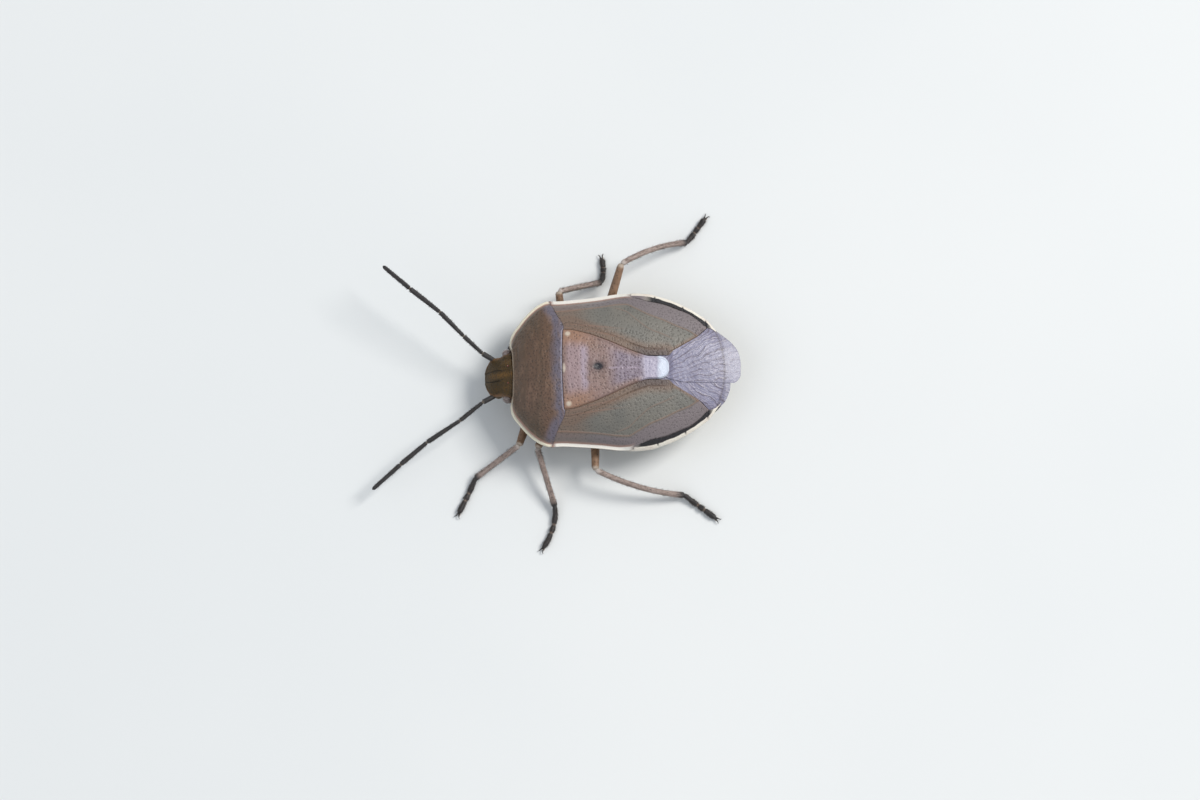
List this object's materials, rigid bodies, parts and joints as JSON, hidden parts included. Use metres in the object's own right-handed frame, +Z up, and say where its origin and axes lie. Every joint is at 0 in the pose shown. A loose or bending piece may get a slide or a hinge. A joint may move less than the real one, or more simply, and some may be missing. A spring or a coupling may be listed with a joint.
{
  "type": "shield bug",
  "caption": "Still, life-size model of a brown, pale-edged shield bug standing on its six legs, with its feelers spread and its wings folded flat.",
  "frame": {"origin": "on the floor, below the middle of the whole bug's box", "axes": "+Z up, -Y the way the bug looks, +X towards its left side"},
  "size_m": [0.0166, 0.0184, 0.0038],
  "materials": {
    "shell": "brown chitin, finely pitted, with a low sheen",
    "shell_dark": "dark olive-brown chitin, finely pitted",
    "scutellum": "brown chitin, pitted, with an ivory tip",
    "wing_case": "leathery grey-olive wing case with red-brown veins",
    "membrane": "thin smoky see-through wing with darker veins",
    "belly": "pitted olive-tan chitin",
    "edge": "ivory body edge with black marks",
    "eye": "glossy dark brown compound eye",
    "feeler": "black, finely bristled",
    "leg": "brown chitin, finely speckled and bristled",
    "foot": "black, bristled"
  },
  "bodies": {
    "root": {"head": "shell_dark", "eye_left": "eye", "eye_right": "eye", "rostrum": "leg", "pronotum": "shell", "thorax": "belly", "abdomen": "belly", "scutellum": "scutellum", "wing_left_corium": "wing_case", "wing_left_membrane": "membrane", "connexivum_left": "edge", "antenna_left_1": "feeler", "antenna_left_2": "feeler", "antenna_left_3": "feeler", "antenna_left_4": "feeler", "antenna_left_5": "feeler", "leg_left_front_femur": "leg", "leg_left_front_tibia": "leg", "leg_left_front_tarsus": "foot", "leg_left_middle_femur": "leg", "leg_left_middle_tibia": "leg", "leg_left_middle_tarsus": "foot", "leg_left_hind_femur": "leg", "leg_left_hind_tibia": "leg", "leg_left_hind_tarsus": "foot", "wing_right_corium": "wing_case", "wing_right_membrane": "membrane", "connexivum_right": "edge", "antenna_right_1": "feeler", "antenna_right_2": "feeler", "antenna_right_3": "feeler", "antenna_right_4": "feeler", "antenna_right_5": "feeler", "leg_right_front_femur": "leg", "leg_right_front_tibia": "leg", "leg_right_front_tarsus": "foot", "leg_right_middle_femur": "leg", "leg_right_middle_tibia": "leg", "leg_right_middle_tarsus": "foot", "leg_right_hind_femur": "leg", "leg_right_hind_tibia": "leg", "leg_right_hind_tarsus": "foot"}
  },
  "joints": []
}
